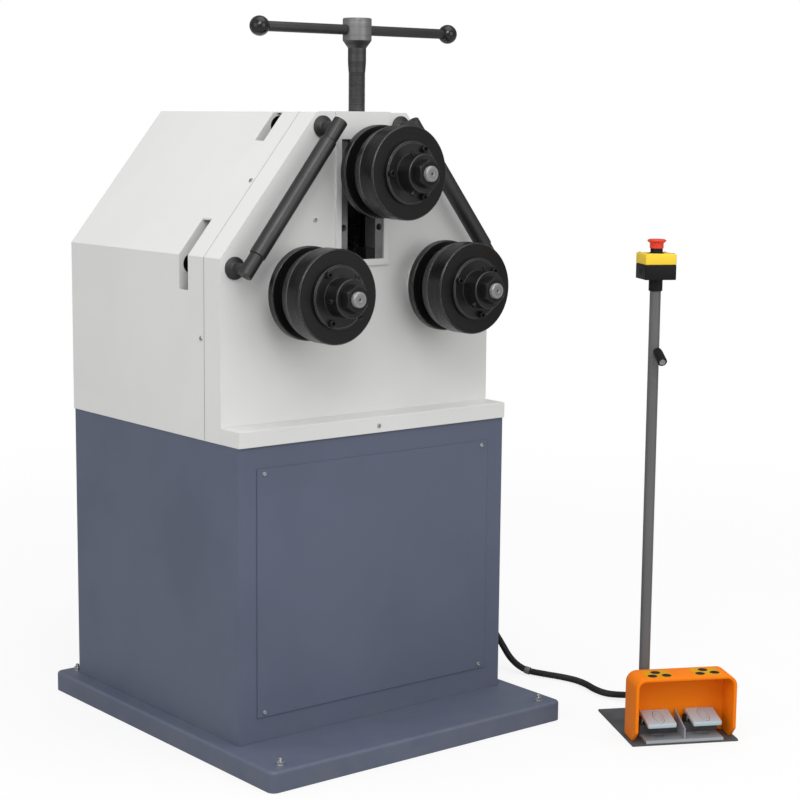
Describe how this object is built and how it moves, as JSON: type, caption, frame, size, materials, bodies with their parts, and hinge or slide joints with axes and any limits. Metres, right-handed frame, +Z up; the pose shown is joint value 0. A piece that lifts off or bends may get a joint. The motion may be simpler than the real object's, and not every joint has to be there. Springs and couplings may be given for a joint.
{
  "type": "ring roller",
  "caption": "Floor-standing ring roller: rolls on a sloped white housing, T-handle lift screw, slate cabinet, and a pedal and emergency-stop stand on a cable.",
  "frame": {"origin": "on the floor, at the middle of the base tray", "axes": "+Z up; -Y is the working front with the rolls; +X to the right seen from the front"},
  "size_m": [1.004, 1.1093, 1.39],
  "materials": {
    "slate_paint": "satin powder coat",
    "white_paint": "satin powder coat",
    "black_steel": "black oxide, satin",
    "bright_steel": "machined",
    "bare_steel": "ground",
    "frame_paint": "matte primer",
    "gearbox_paint": "painted casting",
    "motor_paint": "painted casting",
    "box_plastic": "matte",
    "black_plastic": "matte",
    "cable_rubber": "matte",
    "orange_paint": "gloss",
    "yellow_plastic": "semi gloss",
    "red_plastic": "semi gloss",
    "post_paint": "satin",
    "pedal_metal": "ribbed, satin",
    "plate_steel": "matte"
  },
  "bodies": {
    "machine": {"base_tray": "slate_paint", "cabinet_shell": "slate_paint", "cable_glands": "black_plastic", "control_cable": "cable_rubber", "electrical_box": "box_plastic", "foot_hood": "orange_paint", "foot_plate": "plate_steel", "front_ledge": "white_paint", "front_panel": "slate_paint", "front_plate": "white_paint", "gearbox": "gearbox_paint", "guide_brackets": "black_steel", "inner_frame": "frame_paint", "levelling_screws": "bright_steel", "machine_screws": "bright_steel", "motor": "motor_paint", "pedal_spring_left": "bright_steel", "pedal_spring_right": "bright_steel", "pedal_tray": "pedal_metal", "rear_cover": "white_paint", "roll_bearings": "bare_steel", "slide_gibs": "bare_steel", "slot_frame": "white_paint", "stand_post": "post_paint", "stop_block": "bare_steel", "stop_box_base": "black_plastic", "stop_box_lid": "yellow_plastic"},
    "lower_left_roll": {"lower_left_shaft": "bare_steel", "lower_left_back_disc": "black_steel", "lower_left_front_disc": "black_steel", "lower_left_hub": "black_steel", "lower_left_hub_screws": "black_steel", "lower_left_nut": "black_steel", "drive_gear_left": "bare_steel"},
    "lower_right_roll": {"lower_right_shaft": "bare_steel", "lower_right_back_disc": "black_steel", "lower_right_front_disc": "black_steel", "lower_right_hub": "black_steel", "lower_right_hub_screws": "black_steel", "lower_right_nut": "black_steel", "drive_gear_right": "bare_steel"},
    "pinion": {"drive_pinion": "bare_steel"},
    "slide": {"slide_block": "bare_steel", "slide_bearings": "bright_steel"},
    "upper_roll": {"upper_shaft": "bare_steel", "upper_back_disc": "black_steel", "upper_front_disc": "black_steel", "upper_hub": "black_steel", "upper_hub_screws": "black_steel", "upper_nut": "black_steel"},
    "screw": {"lift_screw": "black_steel", "handle_bar": "black_steel", "handle_balls": "black_steel"},
    "left_guide": {"guide_sleeve_left": "black_steel"},
    "right_guide": {"guide_sleeve_right": "black_steel"},
    "left_pedal": {"pedal_left": "pedal_metal"},
    "right_pedal": {"pedal_right": "pedal_metal"},
    "clamp": {"clamp_handle": "black_plastic"},
    "stem": {"stop_stem": "black_plastic"},
    "button": {"stop_button": "red_plastic"}
  },
  "joints": [
    {"name": "lower_left_turn", "type": "hinge", "parent": "machine", "child": "lower_left_roll", "pos_m": [-0.1645, -0.243, 0.8805], "axis": [0, -1, 0], "continuous": true},
    {"name": "lower_right_turn", "type": "hinge", "parent": "machine", "child": "lower_right_roll", "pos_m": [0.1645, -0.243, 0.8805], "axis": [0, -1, 0], "continuous": true},
    {"name": "pinion_turn", "type": "hinge", "parent": "machine", "child": "pinion", "pos_m": [0, 0, 0.78542], "axis": [0, -1, 0], "continuous": true},
    {"name": "slide_travel", "type": "slide", "parent": "machine", "child": "slide", "axis": [0, 0, 1], "range_m": [-0.072, 0.0051]},
    {"name": "upper_turn", "type": "hinge", "parent": "slide", "child": "upper_roll", "pos_m": [0, -0.243, 1.1027], "axis": [0, -1, 0], "continuous": true},
    {"name": "screw_turn", "type": "hinge", "parent": "slide", "child": "screw", "pos_m": [0, -0.172, 1.155], "axis": [0, 0, 1], "range_deg": [-8600, 600]},
    {"name": "left_guide_turn", "type": "hinge", "parent": "machine", "child": "left_guide", "pos_m": [-0.085, -0.235, 1.197], "axis": [-0.6127, 0, -0.7903], "continuous": true},
    {"name": "right_guide_turn", "type": "hinge", "parent": "machine", "child": "right_guide", "pos_m": [0.085, -0.235, 1.197], "axis": [0.6127, 0, -0.7903], "continuous": true},
    {"name": "left_pedal_press", "type": "hinge", "parent": "machine", "child": "left_pedal", "pos_m": [0.42963, -0.58975, 0.036], "axis": [0.8846, -0.4664, 0], "range_deg": [0, 12], "stiffness_Nm_per_rad": 4, "springref_deg": -5.73},
    {"name": "right_pedal_press", "type": "hinge", "parent": "machine", "child": "right_pedal", "pos_m": [0.51172, -0.63303, 0.036], "axis": [0.8846, -0.4664, 0], "range_deg": [0, 12], "stiffness_Nm_per_rad": 4, "springref_deg": -5.73},
    {"name": "clamp_turn", "type": "hinge", "parent": "machine", "child": "clamp", "pos_m": [0.42887, -0.56289, 0.763], "axis": [-0.4664, -0.8846, 0], "range_deg": [-90, 90]},
    {"name": "stop_press", "type": "slide", "parent": "machine", "child": "stem", "axis": [0, 0, -1], "range_m": [0, 0.005], "stiffness_N_per_m": 2000, "springref_m": -0.003},
    {"name": "stop_twist", "type": "hinge", "parent": "stem", "child": "button", "pos_m": [0.43381, -0.55352, 0.961], "axis": [0, 0, 1], "range_deg": [0, 45], "stiffness_Nm_per_rad": 0.05}
  ],
  "couplings": [
    {"joint": "lower_right_turn", "follows": "lower_left_turn", "ratio": 1},
    {"joint": "pinion_turn", "follows": "lower_left_turn", "ratio": -1.1111},
    {"joint": "slide_travel", "follows": "screw_turn", "m_per_rad": 0.00047746}
  ]
}
